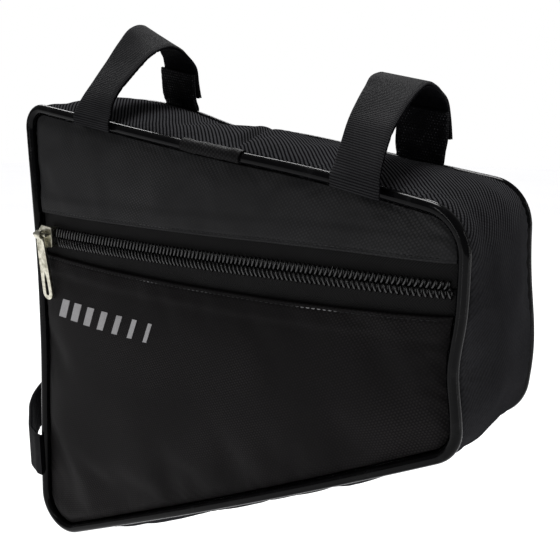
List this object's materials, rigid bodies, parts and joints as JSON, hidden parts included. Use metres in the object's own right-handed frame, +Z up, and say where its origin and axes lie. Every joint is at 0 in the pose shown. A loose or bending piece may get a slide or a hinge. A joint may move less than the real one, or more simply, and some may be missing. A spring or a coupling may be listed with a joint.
{
  "type": "bicycle frame bag",
  "caption": "Triangular black polyester frame bag with piped seams, a coil zip across the front with a swinging metal pull, and webbing loops for the bicycle's frame tubes.",
  "frame": {"origin": "on the axis of the top tube that the two top loops go round, above the middle of the bag's width", "axes": "+X along the zip towards the short side of the bag, +Y from the front panel into the bag's depth, +Z up"},
  "size_m": [0.2452, 0.0723, 0.2317],
  "materials": {
    "body_cloth": "black coated polyester oxford cloth, ribbed weave, soft sheen",
    "piping": "glossy black vinyl over a cord",
    "zip_tape": "black herringbone zip tape",
    "zip_coil": "glossy black nylon coil",
    "zip_metal": "pale nickel plated zinc, worn smooth",
    "webbing": "black cross-ribbed webbing with a fuzzy loop side"
  },
  "bodies": {
    "bag": {"gusset": "body_cloth", "back_panel": "body_cloth", "front_panel_upper": "body_cloth", "front_panel_lower": "body_cloth", "piping_front": "piping", "piping_back": "piping", "piping_joint_cover": "body_cloth", "zip_tape_upper": "zip_tape", "zip_tape_lower": "zip_tape", "zip_coil_upper": "zip_coil", "zip_coil_lower": "zip_coil", "zip_slider": "zip_metal", "strap_left_long": "webbing", "strap_left_tab": "webbing", "strap_right_long": "webbing", "strap_right_tab": "webbing", "strap_side_long": "webbing", "strap_side_tab": "webbing"},
    "pull": {"zip_pull": "zip_metal"}
  },
  "joints": [
    {"name": "pull_swing", "type": "hinge", "parent": "bag", "child": "pull", "pos_m": [-0.08797, -0.03572, -0.05673], "axis": [-1, 0, 0], "range_deg": [0, 165]}
  ]
}
